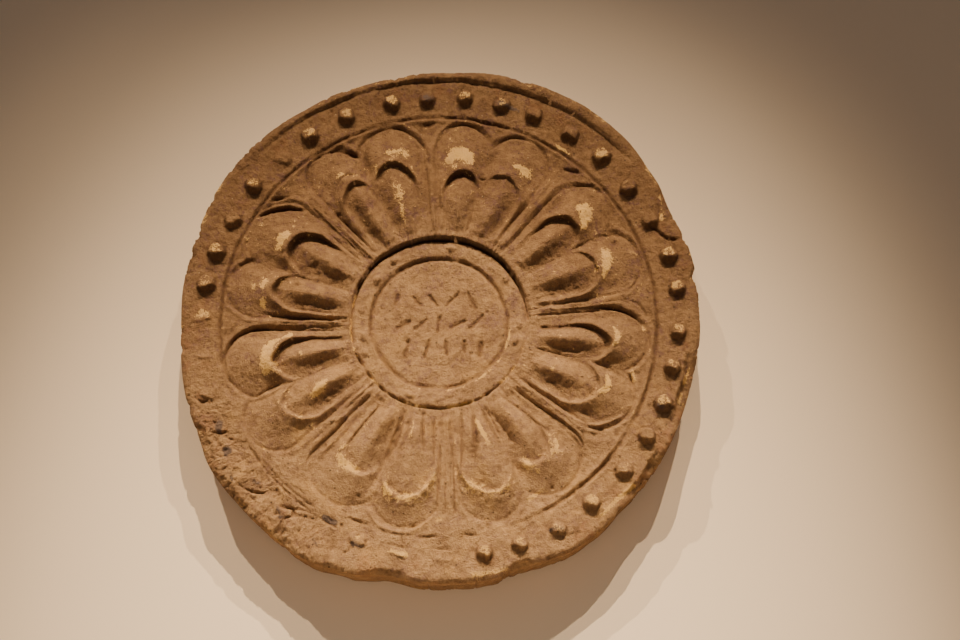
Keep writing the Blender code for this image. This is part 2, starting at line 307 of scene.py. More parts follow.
# Grooves, cracks and gouges:
grooves = (
    # round the lobes and down the petals' sides, counter-clockwise
    ((26, 800, 5, 4), (28.5, 755, 8, 8), (30, 700, 7, 4)),
    ((42.5, 830, 3.5, 4), (46.5, 770, 4, 6), (49.3, 680, 3, 4), (50.2, 430, 3.5, 4)),
    ((47.5, 835, 5, 8), (50.5, 805, 8, 10), (53.5, 788, 4, 4)),
    ((54.6, 600, 3, 4), (55.4, 540, 4.5, 7), (57, 400, 3.5, 3)),
    ((62, 825, 3.5, 4), (67, 822, 3.5, 4), (71, 803, 4.5, 6), (74.8, 735, 7, 7)),
    ((76, 765, 3.5, 5), (79.5, 806, 4, 6), (85, 822, 4, 6), (90.5, 775, 3.5, 4), (93, 620, 3, 2)),
    ((72, 620, 4, 5), (74.8, 602, 5, 10), (77, 612, 6, 9)),
    ((94.4, 640, 3.5, 4), (95.6, 725, 5, 7), (101, 808, 4.5, 7), (106, 828, 5, 8), (111, 812, 3.5, 4),
     (115, 790, 3.5, 4)),
    ((113.4, 765, 12, 5), (114.4, 705, 15, 9), (114.8, 665, 10, 7)),
    ((118.5, 685, 4, 5), (122.5, 702, 4.5, 8), (125.8, 690, 4, 6), (128, 660, 3, 3)),
    ((115.7, 745, 5, 6), (117, 775, 9, 15), (120.5, 818, 5, 9), (125, 838, 5, 11), (129.5, 828, 5, 10),
     (133, 770, 4, 5)),
    ((131, 570, 6, 8), (133, 595, 5, 7), (132.9, 510, 4, 5), (132.4, 410, 3.5, 4)),
    ((136.8, 720, 3, 4), (137.8, 620, 3.5, 6), (138.2, 400, 3, 4)), ((134.6, 600, 3, 4), (135, 420, 3, 5)),
    ((140.6, 560, 3.5, 4), (141.6, 400, 3.5, 5)),
    ((139.5, 700, 5, 10), (142, 757, 9, 19), (145.5, 805, 9, 19), (149.5, 842, 4, 6)),
    ((139, 785, 4, 5), (142, 822, 7, 11), (145, 842, 3, 4)),
    ((160.4, 770, 7, 11), (162, 803, 7, 12), (164, 828, 3, 3)),
    ((176.8, 720, 5, 4), (177.4, 620, 6, 7), (178.4, 410, 4, 5)),
    ((180.2, 640, 2.5, 3), (180.8, 400, 3, 5)), ((174.6, 560, 3.5, 4), (175.4, 400, 3.5, 5)),
    ((191, 850, 3.5, 5), (186.5, 822, 5, 9), (183.2, 775, 7, 13), (182, 700, 7, 14), (182.6, 620, 4.5, 8),
     (184.2, 400, 3.5, 5)),
    ((180.5, 818, 4, 5), (183.5, 838, 3, 4)), ((201.6, 655, 5, 7), (202.2, 740, 4, 6), (203.5, 790, 3, 3)),
    ((227.6, 762, 3, 6), (226.4, 700, 4, 7), (227, 570, 3.5, 6), (226.6, 500, 4, 7), (227.2, 400, 4, 6)),
    ((224.2, 600, 3, 4), (223.6, 400, 3.5, 5)),
    ((234.2, 640, 3, 5), (233.8, 520, 5, 11), (234.4, 400, 4, 6)),
    ((315.6, 765, 3, 4), (318.6, 720, 4.5, 9), (319.6, 650, 6, 12), (318.8, 530, 4.5, 8),
     (316.6, 375, 4, 6)),
    ((314.5, 615, 3, 3), (312.8, 550, 4.5, 8), (311.8, 470, 4.5, 8), (308.5, 380, 4, 5)),
    ((321.8, 700, 7, 4), (324, 745, 9, 5), (328, 785, 6, 3)), ((322.8, 560, 6, 5), (323.8, 410, 6, 4)),
    ((341, 782, 4, 5), (343.4, 762, 5, 10), (344.8, 750, 3, 3)),
    ((357.5, 785, 3, 4), (361, 760, 5, 9), (363.6, 710, 6, 12), (365.2, 650, 7, 15), (365.8, 580, 3.5, 6),
     (366, 385, 3, 4)),
    ((362, 797, 3, 3), (366, 763, 5, 5), (367.5, 715, 3, 2)),
    # tool marks between the two lowest petals
    ((269, 760, 3, 5), (269.9, 480, 3.5, 7)), ((271.5, 750, 3, 6), (272, 540, 3, 4)),
    ((273.2, 690, 2.5, 5), (273.8, 560, 3, 6)), ((274.2, 760, 3.5, 8), (275.5, 480, 3.5, 7)),
    # down the lowest kernels
    ((249.6, 400, 7, 8), (250.2, 500, 11, 12), (249.2, 590, 7, 6)),
    ((253.4, 385, 6, 7), (253.8, 470, 8, 8), (252.8, 560, 6, 5)),
    ((259.6, 370, 6, 9), (261.6, 450, 6, 10), (263.6, 530, 5, 6)),
    ((266.5, 385, 4, 8), (267.7, 590, 4.5, 8)), ((298.5, 400, 5, 5), (300.5, 560, 7, 8)),
    ((289, 375, 7, 9), (286.8, 450, 11, 14), (285.2, 510, 13, 13), (282.4, 570, 9, 7)),
    ((282.4, 370, 4.5, 8), (279.6, 480, 4.5, 9), (277.5, 600, 4, 7)),
    ((294.4, 385, 6, 7), (294.8, 450, 8, 9), (294.6, 540, 6, 5)),
    # the border and its edge
    ((20.2, 995, 7, 9), (21.5, 945, 6, 10), (26.5, 905, 6, 9)), ((25, 945, 5, 6), (29.5, 975, 5, 6)),
    ((18.5, 965, 4, 5), (22, 950, 4, 5)), ((91.5, 825, 7, 8), (94.5, 815, 12, 10), (97, 812, 4, 3)),
    ((71, 846, 5, 5), (76, 836, 8, 8), (82, 848, 4, 4)),
    ((229, 950, 5, 6), (231.5, 925, 6, 9), (235, 896, 4, 6), (239, 886, 3, 3)),
    ((231.8, 975, 4, 5), (233.6, 940, 5, 8), (236, 912, 4, 5), (239, 898, 3, 3)),
    ((219, 998, 5, 7), (222.5, 975, 6, 10), (224.5, 950, 5, 9), (225.4, 925, 4, 6)),
    ((207.5, 975, 4, 5), (209.5, 970, 5, 7), (211.5, 955, 5, 5)),
    ((205.8, 975, 4, 4), (207.5, 940, 6, 8), (206.5, 905, 4, 5)), ((240, 975, 5, 5), (242.5, 955, 5, 5)),
    ((247.5, 985, 5, 5), (249.5, 935, 6, 7)),
    ((239.2, 888, 4, 8), (241.5, 889, 5, 10), (243.8, 890, 4, 7)), ((240, 878, 9, 7), (242.8, 878, 9, 7)),
    ((213.5, 876, 4.5, 6), (236, 884, 4.5, 6)), ((218, 866, 4, 5), (237, 866, 4, 5)),
    ((197.8, 985, 5, 7), (199, 955, 6, 9), (198, 925, 5, 6)), ((332.7, 950, 3.5, 9), (333.2, 930, 3, 7)),
    ((245.5, 838, 6, 8), (251, 836, 5, 6)), ((264, 842, 5, 5), (269.5, 834, 7, 8)),
    ((275.5, 826, 4, 5), (279, 842, 6, 7)), ((181, 975, 6, 8), (182, 950, 4, 5)),
    ((256, 886, 3, 4), (262, 886, 3, 4)), ((268.5, 882, 3.5, 4), (273, 886, 3.5, 4)),
    ((299, 955, 4, 4), (303, 975, 4, 4)),
)

# Dark stones in the clay:
stones = (
    ((205, 935, 15, 9), (206.6, 945, 12, 8)), ((211.5, 955, 17, 10), (212.3, 965, 14, 9)),
    ((216.5, 995, 10, 8), (218, 1000, 9, 7)), ((221, 945, 12, 7), (222.5, 930, 10, 6)),
    ((229.5, 950, 10, 7), (231.5, 965, 15, 8)), ((239.8, 876, 11, 10), (243, 876, 12, 10)),
    ((240.5, 970, 12, 7), (242, 985, 8, 6)), ((249.3, 920, 14, 7), (252, 925, 10, 7)),
    ((71, 925, 12, 6), (75.5, 930, 15, 7)), ((93.6, 924, 18, 9), (94, 924, 16, 9)),
    ((338.6, 905, 18, 9), (339, 906, 15, 9)), ((296.8, 908, 12, 6), (299.5, 925, 15, 6)),
)

# Thin raised lips:
lips = (
    ((8.3, 640, 9, 3), (9.6, 715, 8, 6), (13.5, 780, 6, 4)),
    ((202.9, 640, 7, 5), (203.4, 730, 6, 6), (202.6, 800, 5, 3)),
    ((322.8, 480, 8, 4), (322.9, 640, 7, 6), (325.6, 720, 6, 7), (333, 795, 6, 5)),
    ((226.9, 500, 7, 4), (221, 620, 7, 5)), ((228.9, 700, 6, 6), (229.3, 540, 6, 4)),
    ((63, 835, 10, 7), (65.5, 862, 10, 6)),
    ((249, 775, 6, 5), (254, 828, 6, 6), (262, 825, 6, 4), (269, 745, 6, 4)),
    ((46.6, 600, 6, 5), (46.8, 420, 6, 4)), ((52.2, 640, 7, 5), (52, 400, 7, 4)),
)


def wornOutline(at):  # edge radius and broken lip at an angle
    deg = at["deg"]
    full = at["radius"]
    share = outline[0][1]
    for (start, low), (end, high) in zip(outline, outline[1:]):
        share = smooth(deg, start, end) * (high - low) + share
    onEdge = vector(cosine(deg) * full, sine(deg) * full)
    broken = smooth(noise(onEdge, 9, 31, 5, 0.65), 0, 0.45) * 1.3
    return {"edge": share * full - 0.35 - broken}


def turnGap(deg, middle):  # degrees between two directions, up to 180
    return abs((deg - (middle - 180)) % 360 - 180)


lobeShoulder = 0.857           # where the arches of the lobes and kernels start, as shares of their tips
kernelShoulder = 0.865


def petalRelief(at):
    full = at["radius"]
    r = at["r"]
    deg = at["deg"]

    def outward(start, end):  # 0 at one share of the radius, 1 at another
        return smooth(r, full * start, full * end)

    turned = (deg - lobes[0][0]) % 360
    starts = tuple(start - lobes[0][0] for start in column(lobes, 0))
    spans = tuple(b - a for a, b in zip(starts, starts[1:] + (360,)))
    number = countPast(turned, starts[1:])
    span = pick(number, spans)
    part = clamp((turned - pick(number, starts)) / span)
    second = number % 2
    fromEdge = part + second * (1 - part * 2)  # 0 at the petal's edge, 1 at its notch
    spanTurn = span.math("RADIANS")
    width = spanTurn * r                       # mm across the lobe's sector here
    tip, rimFrom, kernelFrom, kernelTo, kernelTip, tall, rimWearAndHighlight, drop, valley = (
        pick(number, column(lobes, n)) for n in range(1, 10))

    # distance inside the lobe's outline, which is open to the other lobe below the notch
    tip = tip * full
    shoulder = tip * lobeShoulder
    rimTo = 1.05                               # a little past the notch
    half = (rimTo - rimFrom) * 0.5
    across = (fromEdge - (rimFrom + rimTo) * 0.5) * width
    rho = spanTurn * shoulder * half
    arch = rho - length(across, (r - shoulder) * rho / (tip - shoulder))
    below = least(width * half + across, length(width * half - across, (shoulder - r) * 0.8))
    inLobe = mix(below, arch, r > shoulder)

    # distance inside the kernel's outline, which narrows towards the disc
    kernelTip = kernelTip * full
    kernelTurn = kernelTip * kernelShoulder
    kernelFrom = kernelFrom + outward(0.52, 0.36) * 0.06
    kernelHalf = (kernelTo - kernelFrom) * 0.5
    kernelAcross = (fromEdge - (kernelFrom + kernelTo) * 0.5) * width
    kernelRho = spanTurn * kernelTurn * kernelHalf
    kernelUp = (r - kernelTurn) * kernelRho / (kernelTip - kernelTurn)
    kernelArch = kernelRho - length(kernelAcross, kernelUp)
    kernelSide = (width * kernelHalf - abs(kernelAcross)).math("SMOOTH_MIN", (r - full * 0.368) * 0.9, 1.5)
    inKernel = mix(kernelSide, kernelArch, r > kernelTurn)

    # the kernel's upper edge is cut steeply below the crest, its lower edge runs out gently
    facing = kernelAcross * (1 - second * 2) * cosine(deg)
    rising = facing + (r - kernelTurn) * sine(deg) * 0.8
    upper = smooth(rising, -1, 3.2)
    bank = 1.7 - upper * 1.15

    # the lobe swells from its outline to a crest at the hollow's edge
    fromHollow = most(-inKernel - bank * 0.6, 0)
    deepIn = most(inLobe, 0)
    share = deepIn / (deepIn + fromHollow + 0.02)
    swell = share ** 1.7 * 0.7 + share * 0.3
    steeper = outward(0.42, 0.7) * 0.78 + 0.22
    toNotch = (1 - fromEdge) * width
    dip = 1 - smooth(toNotch, 4.2, 0) * outward(0.8, 0.66) * 0.45
    lobeRise = at["lobeHeight"] * tall * steeper * swell * dip + smooth(inLobe, 0, 0.9) * 0.3

    fromTip = 1 - clamp((kernelTip - r) / 10)
    tipTop = at["lobeHeight"] * tall * 0.97 - drop * 2.7
    keel = mix(at["kernelHeight"], tipTop, fromTip * fromTip)
    keel = keel * (1 - outward(0.47, 0.385) * 0.42)
    aside = clamp(abs(kernelAcross) / most(inKernel + abs(kernelAcross), 0.1))
    sideTop = mix(2 - drop * upper * 0.9, tipTop * 0.85, smooth(r, kernelTurn * 0.96, kernelTip))
    kernelRise = mix(keel, sideTop * (1 - outward(0.5, 0.39) * 0.35), aside ** 1.25)
    shaded = smooth(facing, 1.2, -2.2) * smooth(abs(cosine(deg)), 0.1, 0.6)
    shaded = shaded * outward(0.38, 0.46) * smooth(r, kernelTip, kernelTurn * 0.92)
    kernelRise = kernelRise - ridge(aside, 0.6, 0.58) * shaded * 1.1
    hollow = smooth(inKernel, -bank, 0)
    rise = mix(lobeRise, kernelRise, hollow)

    # ridges between the petals, which part into thin lips round the arches
    outside = -inLobe
    inner = 1 - outward(0.66, 0.78)
    divider = smooth(outside, -0.4, 2) * (inner * 0.72 + 0.28) * at["dividerHeight"]
    filled = ridge(outside, 0, 3) * (1 - valley) * (inner * 1.35 + 0.2)
    soft = smooth(turnGap(deg, 262), 55, 25)
    lip = ridge(outside, 1.25, 1) * (1 - inner) * (0.32 - soft * 0.3)
    leaf = smooth(outside, 2.6, 4.6) * outward(0.7, 0.76) * 0.35
    cut = ridge(outside, 0.1, 0.6) * (0.14 - soft * 0.1)
    height = rise + divider + filled + lip + leaf - cut
    collar = outward(0.394, 0.372)
    height = mix(height, 1.45, collar)

    # pale rim round the kernel: rubbed wear, and painted highlight where the lowest lobes' rims face up to
    # the light
    rim = ridge(inKernel, -1.4, 3.4) * outward(0.55, 0.63) * rimWearAndHighlight * smooth(toNotch, 0.5, 2.5)
    # painted shadow below the crest's steep wall, painted shade on the kernels' lower flanks (where the
    # grain is also raised) and in the valleys beside the petals
    crescentShadow = ridge(inKernel, -0.1, 1.3) * upper * clamp(drop)
    gritAndShade = ridge(aside, 0.66, 0.42) * shaded * hollow
    deep = most(ridge(outside, 0.1, 1) * valley * 0.6, crescentShadow, gritAndShade * 0.6) * (1 - collar)
    combed = smooth(outside, -2, 1)
    return {"height": height, "worn": rim, "deep": deep, "combed": combed, "gritAndShade": gritAndShade}


lineCircle = {"share": 0.8425, "swing": 0.0095, "side": 168.0}   # shares of the radius; a little off centre


def ringLine(at):
    spot = at["spot"]
    seed = at["seed"]
    deg = at["deg"]
    middle = at["radius"] * (cosine(deg - lineCircle["side"]) * lineCircle["swing"] + lineCircle["share"])
    away = at["r"] - middle + noise(spot, 9, seed + 3) * 0.45
    kept = 1 - smooth(turnGap(deg, 243), 62, 38) * 0.88
    kept = kept * (smooth(noise(spot, 12, seed + 4, 3), -0.35, 0.15) * 0.7 + 0.3)
    line = ridge(away, -1, 0.9) * 0.45 + ridge(away, 1.2, 0.9) * 0.1
    strong = smooth(turnGap(deg, 316), 30, 14)
    cut = ridge(away, 0.1, strong * 0.35 + 0.75) * at["lineDepth"] * (strong * 0.5 + 1)
    # painted shade along the ring line
    deep = ridge(away, 0.1, 0.9) * kept
    return {"height": (line - cut) * kept, "border": smooth(away, -0.8, 1.2), "deep": deep}


def beadRelief(at):
    full = at["radius"]
    deg = at["deg"]
    angles = column(beads, 0)
    halfway = tuple((a + b) / 2 for a, b in zip(angles, angles[1:]))
    before = (angles[-1] + angles[0] + 360) / 2 - 360
    turned = (deg - before) % 360
    number = countPast(turned, tuple(angle - before for angle in halfway))
    angle, share, tall, pale = (pick(number, column(beads, n)) for n in range(4))
    ring = share * full
    bx = at["x"] - ring * cosine(angle)
    by = at["y"] - ring * sine(angle)
    grow = chance(number, 21) * 0.16 + 0.9
    uneven = noise(at["spot"], 1.9, at["seed"] + 5, 4, 0.65)
    gap = length(bx, by) / grow + uneven
    foot = at["beadRadius"]
    top = at["beadHeight"] * tall
    dome = (1 - least(gap / foot, 1) ** 3.2).math("SQRT") * top * 1.05
    # the lower half of each stub is rubbed down to a slope, and its top is a slanted facet
    turnOff = (chance(number, 23) - 0.5) * 0.9
    downhill = by + bx * turnOff + uneven * 0.9
    facet = top * 0.88 - (downhill + 0.3) * (chance(number, 24) * 0.25 + 0.1)
    lower = top * 0.95 + (downhill + 0.8) * 1.35
    height = most(least(dome, facet, most(lower, top * 0.12)), 0)
    inside = gap < foot
    worn = smooth(dome - facet, -0.3, 0.4) * smooth(lower - facet, -0.2, 0.4) * pale * 0.6 * inside
    shade = most(ridge(gap, foot, 0.7) * 0.7, smooth(facet - lower, 0.2, 0.9) * inside * 0.7)
    return {"height": height * inside, "worn": worn, "deep": shade * clamp(tall * 1.4)}


centre = {                     # shares of the radius, and millimetres
    "middleX": -0.007,
    "middleY": 0.002,
    "ring": 0.264,
    "edge": 0.3385,
    "well": 0.3465,
    "knobs": 23.0,
    "rowPitch": 7.4,
    "columnPitch": 5.4,
}


def discRelief(at):
    spot = at["spot"]
    seed = at["seed"]
    full = at["radius"]
    dx = at["x"] - full * centre["middleX"]
    dy = at["y"] - full * centre["middleY"]
    uneven = noise(spot, 14, seed + 9) * 0.8
    dr = length(dx, dy) + uneven
    tilt = at["discTilt"].math("RADIANS").math("TANGENT")
    face = at["discTop"] - dy * tilt
    edge = full * centre["edge"]
    breaks = smooth(noise(spot, 6, seed + 10), -0.45, 0.1)
    ringAt = full * centre["ring"] + noise(spot, 5, seed + 7, 3) * 0.5
    line = ridge(dr, ringAt, 0.95) * 1.1 * (breaks * 0.5 + 0.5)
    inner = smooth(dr, ringAt + 0.1, ringAt - 0.6) * 0.7

    # small worn knobs round the band
    step = 360 / centre["knobs"]
    turn = dy.math("ARCTAN2", dx).math("DEGREES") / step
    number = turn.math("ROUND")
    jitter = (chance(number, 41) - 0.5) * 0.5
    away = length((turn - number - jitter) * step * (math.pi / 180) * dr * 0.7,
                  dr - full * (chance(number, 42) * 0.03 + 0.285))
    knobs = smooth(away, 1.2, 0.4) * smooth(chance(number, 43), 0.1, 0.9) * 0.95

    # rows of plain slanted strokes
    rowPitch = centre["rowPitch"]
    columnPitch = centre["columnPitch"]
    sway = noise(spot, 3, seed + 8) * 0.8
    row = (dy / rowPitch).math("ROUND")
    shifted = dx / columnPitch + row * 0.31
    stand = shifted.math("ROUND")
    key = row * 17 + stand
    sx = (shifted - stand) * columnPitch - (chance(key, 51) - 0.5) + sway
    sy = dy - row * rowPitch - (chance(key, 52) - 0.5) * 1.2
    lean = (chance(key, 53) - 0.5) * 110 + 10
    along = sx * sine(lean) + sy * cosine(lean)
    aside = sx * cosine(lean) - sy * sine(lean)
    reach = chance(key, 54) * 1.7 + 1.1
    stroke = length(most(abs(along) - reach, 0), aside)
    used = (abs(row) < 1.5) * smooth(dr, full * 0.225, full * 0.205) * (abs(stand) < 2.5)
    strokes = smooth(stroke, chance(key, 55) * 0.3 + 0.65, 0.12) * at["strokeDepth"] * used

    lumps = noise(spot, 4, seed + 11, 5, 0.65) * 0.65
    above = smooth(dy + noise(spot, 9, seed + 6, 3) * 8, -4, 16)
    angular = noise(spot, 11, seed + 5, 2) * 0.8
    gaps = smooth(noise(spot, 5, seed + 27), -0.15, 0.1)
    filled = (1 - above) * most(gaps, smooth(dx, 6, 18) * 0.7)
    rounded = smooth(dr, edge - 1.1, edge + 0.1) ** 2 * (0.7 - filled * 0.5)
    moat = smooth(dr, edge - 0.1, edge + 0.3)
    height = face - line - inner - rounded + knobs - strokes + lumps
    height = mix(height, 15.6 - above * 2.7 + filled * 1.7, moat)
    wellGap = length(dx, dy - 0.05) + uneven - full * centre["well"] - above * (angular + 0.12)
    outer = smooth(wellGap, -0.2, 0.15)
    lower = most(smooth(dy, 4, -12), smooth(dx, -14, -20) * 0.8)
    patchy = smooth(noise(spot, 3, seed + 12), -0.25, 0.15)
    # painted highlight on the lit step outside the ring line at the lower right; the pale disc edge low
    # down and on the left is rubbed wear and painted highlight
    glint = ridge(dr, ringAt + 0.9, 0.8) * smooth(dx - dy, 6, 22) * smooth(dy, 4, -4) * 0.8
    worn = most(ridge(dr, edge + 0.4, 1.2) * lower, glint) * patchy
    shade = moat * smooth(wellGap, above * 0.9, above * 0.4 - 0.2)
    shade = shade * (above * 0.6 + 0.1 - filled * 0.1)
    # painted shade in the ring line, the moat and the strokes
    deep = most(ridge(dr, ringAt, 0.8) * (breaks * 0.6 + 0.4), shade, clamp(strokes * 1.6))
    return {"height": height, "outer": outer, "worn": worn, "deep": deep}


def between(before, start, end, after, share):  # smooth curve through the two middle values
    rise = (end - before) / 2
    fall = (after - start) / 2
    bent = 2 * (start - end) + rise + fall
    return start + share * (rise + share * (3 * (end - start) - 2 * rise - fall + share * bent))


runStep = 0.35                 # mm


def runShape(name, runs, fades):  # small steps along each run, with the half width and depth at each
    mesh = bpy.data.meshes.new(name)
    points, edges, halves, depths = [], [], [], []
    for run in runs:
        run = tuple((turn, share / 1000, half / 10, deep / 10) for turn, share, half, deep in run)
        around = (run[0],) + run + (run[-1],)
        first = len(points)
        for four in zip(around, around[1:], around[2:], around[3:]):
            across = math.radians(four[2][0] - four[1][0]) * four[1][1]
            reach = math.hypot(across, four[2][1] - four[1][1]) * tile["radius"]
            steps = max(1, round(reach / runStep))
            for step in range(steps + 1):
                turn, share, half, deep = (between(*values, step / steps) for values in zip(*four))
                if step:
                    edges.append((len(points) - 1, len(points)))
                r = share * tile["radius"]
                turn = math.radians(turn)
                points.append((r * math.cos(turn), r * math.sin(turn), 0))
                halves.append(half)
                depths.append(deep)
        for number in range(first, len(points)):
            fromEnd = min(number - first, len(points) - 1 - number)
            depths[number] *= min(1, 0.25 + fromEnd * 0.12) if fades else 1
    mesh.from_pydata(points, edges, [])
    for key, values in (("half", halves), ("deep", depths)):
        mesh.attributes.new(key, "FLOAT", "POINT").data.foreach_set("value", values)
    return addObject(name, mesh)


def nearRun(shape, flat):  # distance to the nearest run, and its half width and depth there
    tree = flat.tree
    geometry = place(tree, "GeometryNodeObjectInfo", Object=shape).outputs["Geometry"]
    near = place(tree, "GeometryNodeProximity", {"target_element": "EDGES"}, Geometry=geometry,
                 Sample_Position=flat)
    closest = place(tree, "GeometryNodeSampleNearest", Geometry=geometry, Sample_Position=flat)
    found = [Wire(near.outputs["Distance"])]
    for key in ("half", "deep"):
        attribute = place(tree, "GeometryNodeInputNamedAttribute", Name=key)
        sample = place(tree, "GeometryNodeSampleIndex", Geometry=geometry, Value=attribute.outputs[0],
                       Index=closest.outputs[0])
        found.append(Wire(sample.outputs[0]))
    return found


def runMark(shape, flat, jitter):  # how deep a place lies in the nearest run
    gap, half, deep = nearRun(shape, flat)
    return smooth(gap / half + jitter, 1.25, 0) * deep


def pitField(spot, pitch, rarity, reach):  # scattered round pits, 1 at their middle
    tree = spot.tree
    cells = place(tree, "ShaderNodeTexVoronoi", {"feature": "F1"}, Vector=spot, Scale=1 / pitch)
    luck = Wire(place(tree, "FunctionNodeSeparateColor", Color=cells.outputs["Color"]).outputs[0])
    size = smooth(luck, rarity, 1) * reach + 0.02
    return smooth(Wire(cells.outputs["Distance"]), size, size * 0.3) * (luck > rarity)


markNames = ("worn", "deep", "stone")   # what the relief tells the clay at every point: pale wear and painted highlights, painted shade in deep places, and dark stones


def relief(tree, size, x, y, r, deg, edge, base, shapes):
    full = size["radius"]
    seed = size["seed"]
    wear = size["wear"]
    # the hand-cut mould: nothing runs quite true
    wx, wy = (way + (noise(base, 16, seed + n) * 0.7 + noise(base, 5, seed + n + 0.5) * 0.5)
              for n, way in enumerate((x, y)))
    warped = {"r": length(wx, wy), "deg": wy.math("ARCTAN2", wx).math("DEGREES") % 360}
    here = {"x": x, "y": y, "r": r, "deg": deg, "spot": base}
    rough = noise(base, 7, seed + 13, 5, 0.62)
    grain = noise(base, 1.6, seed + 19, 3, 0.65)
    petals = useGroup(tree, "petals", "radius r deg lobeHeight kernelHeight dividerHeight",
                      petalRelief, {**size, **warped})
    line = useGroup(tree, "ringLine", "radius r deg spot seed lineDepth", ringLine, {**size, **here})
    bead = useGroup(tree, "beads", "radius x y deg spot seed beadHeight beadRadius", beadRelief,
                    {**size, **here})
    disc = useGroup(tree, "disc", "radius x y spot seed discTop discTilt strokeDepth", discRelief,
                    {**size, **here})
    flatSpot = vector(x, y)
    paleGap, paleHalf, paleStrength = nearRun(shapes["rubbed"], flatSpot)
    pale = (1 - paleGap / paleHalf) * paleStrength
    stoneGap, stoneHalf, stoneStrength = nearRun(shapes["stones"], flatSpot)
    jitter = rough * 0.5 + grain * 0.5
    cut = runMark(shapes["grooves"], flatSpot, jitter)
    raised = runMark(shapes["lips"], flatSpot, jitter)
    border = line["border"]
    outer = disc["outer"]

    # raised rim kept along the top, behind a sharp inner step
    kept = smooth(deg, 38, 52) * (smooth(deg, 140, 112) * 0.75 + smooth(deg, 146, 134) * 0.25)
    stepAt = r + rough * 0.9 + grain * 0.3
    rim = smooth(stepAt, full * 1.003, full * 1.01) * size["rimHeight"]
    rim = rim - ridge(stepAt, full * 0.999, 0.9) * 0.4
    level = mix(size["fieldTop"], size["borderTop"], border)
    petalPart = (1 - border) * outer
    height = level + petals["height"] * petalPart + line["height"] + bead["height"] * border
    height = height + rim * kept + raised

    # combed tooling between the petals
    polar = vector(cosine(deg) * 60, sine(deg) * 60, r * 0.06)
    tooled = most(petals["combed"], smooth(r, full * 0.52, full * 0.42) * 0.4) * petalPart
    combed = noise(polar, 1.7, seed + 20, 3, 0.6) * tooled
    low = smooth(turnGap(deg, 271), 12, 6) * smooth(r, full * 0.42, full * 0.55)
    height = height + combed * (low * 0.5 + smooth(r, full * 0.72, full * 0.46) * 1.2 + 0.3)
    height = height + grain * petals["gritAndShade"] * 0.9
    height = height + (grain * 0.8 + rough * 0.5) * petals["worn"] * petalPart
    height = mix(disc["height"], height, outer)

    # erosion at the lower left, lumps, pits and the broken lip
    fall = edge - r
    eroded = smooth(turnGap(deg, 222), 32, 12) * smooth(r, full * 0.85, full * 0.93)
    crumbs = abs(noise(base, 2.6, seed + 21, 5, 0.72))
    craters = pitField(base, 5, 0.5, 0.4)
    height = height - eroded * (rough * 1.3 + 0.5 + craters * 0.9 + crumbs * 2.2) * wear
    lost = most(*(
        smooth(turnGap(deg, middle), reach, reach * 0.3)
        * smooth(fall + rough * 2.4 + grain * 0.6, inward, inward * 0.45) * deep
        for middle, reach, deep, inward in chips))
    height = height - lost - smooth(fall + rough * 0.8, 1.5, -0.6) * 1.2 - cut
    lumps = noise(base, 11, seed + 14, 3) * 0.8
    lumps = lumps + noise(base, 3.4, seed + 15, 4, 0.62) * 0.42
    pits = pitField(base, 4.6, 0.7, 0.22) * 0.6 + pitField(base, 1.9, 0.78, 0.34) * 0.35
    pits = pits * (eroded * 1.5 + 0.8)
    height = height + (lumps + grain * 0.26 - pits - crumbs * (border * 0.55 + 0.25)) * wear

    edgeWorn = smooth(fall + rough * 1.2, 1.9, 0.2) * smooth(noise(base, 5, seed + 16), 0, 0.35)
    crumbly = rough * 0.8 + noise(base, 1.7, seed + 22, 4, 0.7) * 1.6
    spots = clamp(pale * 0.8 + paleStrength * 0.3 + crumbly * 0.3)
    # pale wear, with the painted highlights of the lower lobes' rims and of the disc
    worn = most(clamp(petals["worn"] * 0.75 + crumbly * 0.8) * petalPart, disc["worn"] * (1 - outer),
                bead["worn"] * border, edgeWorn * 0.6, spots)
    worn = clamp(most(worn, ridge(lost, 0.5, 0.5) * smooth(rough, -0.1, 0.3) * 0.7))
    stone = (1.25 - stoneGap / stoneHalf + rough * 0.6 + grain * 0.5) * stoneStrength
    # painted shade gathered from the grooves, pits, craters, ring line, beads, disc and moat
    deep = most(petals["deep"] * petalPart, line["deep"], bead["deep"] * border, disc["deep"],
                clamp(pits * 1.3), clamp(cut * 0.8), eroded * craters)
    return height, dict(zip(markNames, (worn, deep, clamp(stone))))


